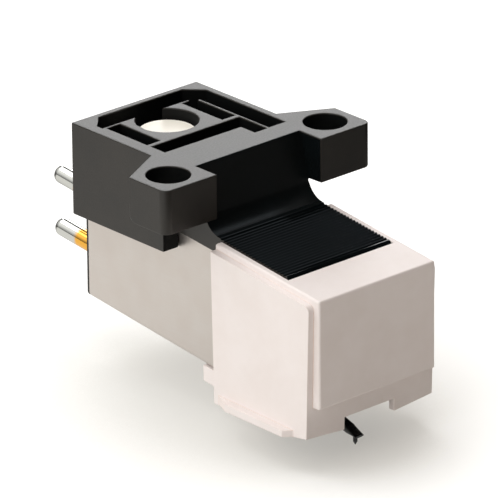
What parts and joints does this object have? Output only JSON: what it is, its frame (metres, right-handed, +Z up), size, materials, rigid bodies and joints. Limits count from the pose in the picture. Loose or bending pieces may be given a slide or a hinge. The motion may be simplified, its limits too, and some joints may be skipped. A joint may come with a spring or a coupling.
{
  "type": "turntable stylus cartridge",
  "caption": "Black moving-magnet phono cartridge with screw lugs, a metal can, rear pins and a white pull-off stylus unit with a sprung cantilever.",
  "frame": {"origin": "midway between the two screw holes, in the plane of the flat top mounting face", "axes": "+Z up out of the mounting face, -Y forward towards the stylus, +X towards the left channel's side"},
  "size_m": [0.0166, 0.0267, 0.0165],
  "materials": {
    "housing_plastic": "moulded black, fine matt sheen",
    "slug_metal": "satin turned",
    "can_metal": "satin nickel-plated sheet",
    "plate_plastic": "moulded black",
    "pin_metal": "bright plated, gold at the base",
    "pole_metal": "annealed sheet",
    "bobbin_plastic": "moulded natural",
    "coil_wire": "enamelled copper wire",
    "holder_plastic": "moulded off-white, low gloss",
    "sleeve_metal": "drawn tube",
    "damper_rubber": "soft moulded rubber",
    "cantilever_metal": "black",
    "magnet_alloy": "sintered",
    "tip_jewel": "ground and polished"
  },
  "bodies": {
    "cartridge_body": {"main_housing": "housing_plastic", "ballast_slug": "slug_metal", "shield_can": "can_metal", "rear_terminal_plate": "plate_plastic", "left_live_pin": "pin_metal", "left_return_pin": "pin_metal", "right_live_pin": "pin_metal", "right_return_pin": "pin_metal", "left_front_pole": "pole_metal", "left_rear_pole": "pole_metal", "right_front_pole": "pole_metal", "right_rear_pole": "pole_metal", "left_yoke": "pole_metal", "right_yoke": "pole_metal", "left_upper_bobbin": "bobbin_plastic", "left_lower_bobbin": "bobbin_plastic", "right_upper_bobbin": "bobbin_plastic", "right_lower_bobbin": "bobbin_plastic", "left_upper_winding": "coil_wire", "left_lower_winding": "coil_wire", "right_upper_winding": "coil_wire", "right_lower_winding": "coil_wire"},
    "stylus_unit": {"stylus_holder": "holder_plastic", "suspension_sleeve": "sleeve_metal"},
    "damper": {"damper_ring": "damper_rubber"},
    "cantilever_bar": {"cantilever": "cantilever_metal", "left_magnet": "magnet_alloy", "right_magnet": "magnet_alloy", "stylus_tip": "tip_jewel"}
  },
  "joints": [
    {"name": "stylus_pull_off", "type": "slide", "parent": "cartridge_body", "child": "stylus_unit", "axis": [0, -0.9942, -0.108], "range_m": [0, 0.009]},
    {"name": "cantilever_side_sway", "type": "hinge", "parent": "stylus_unit", "child": "damper", "pos_m": [0, -0.0026, -0.0136], "axis": [0, 0, 1], "range_deg": [-3, 3], "stiffness_Nm_per_rad": 0.0055, "deforming": ["damper_ring"]},
    {"name": "cantilever_rise", "type": "hinge", "parent": "damper", "child": "cantilever_bar", "pos_m": [0, -0.0026, -0.0136], "axis": [1, 0, 0], "range_deg": [-4, 2], "stiffness_Nm_per_rad": 0.0055, "deforming": ["damper_ring"]}
  ]
}
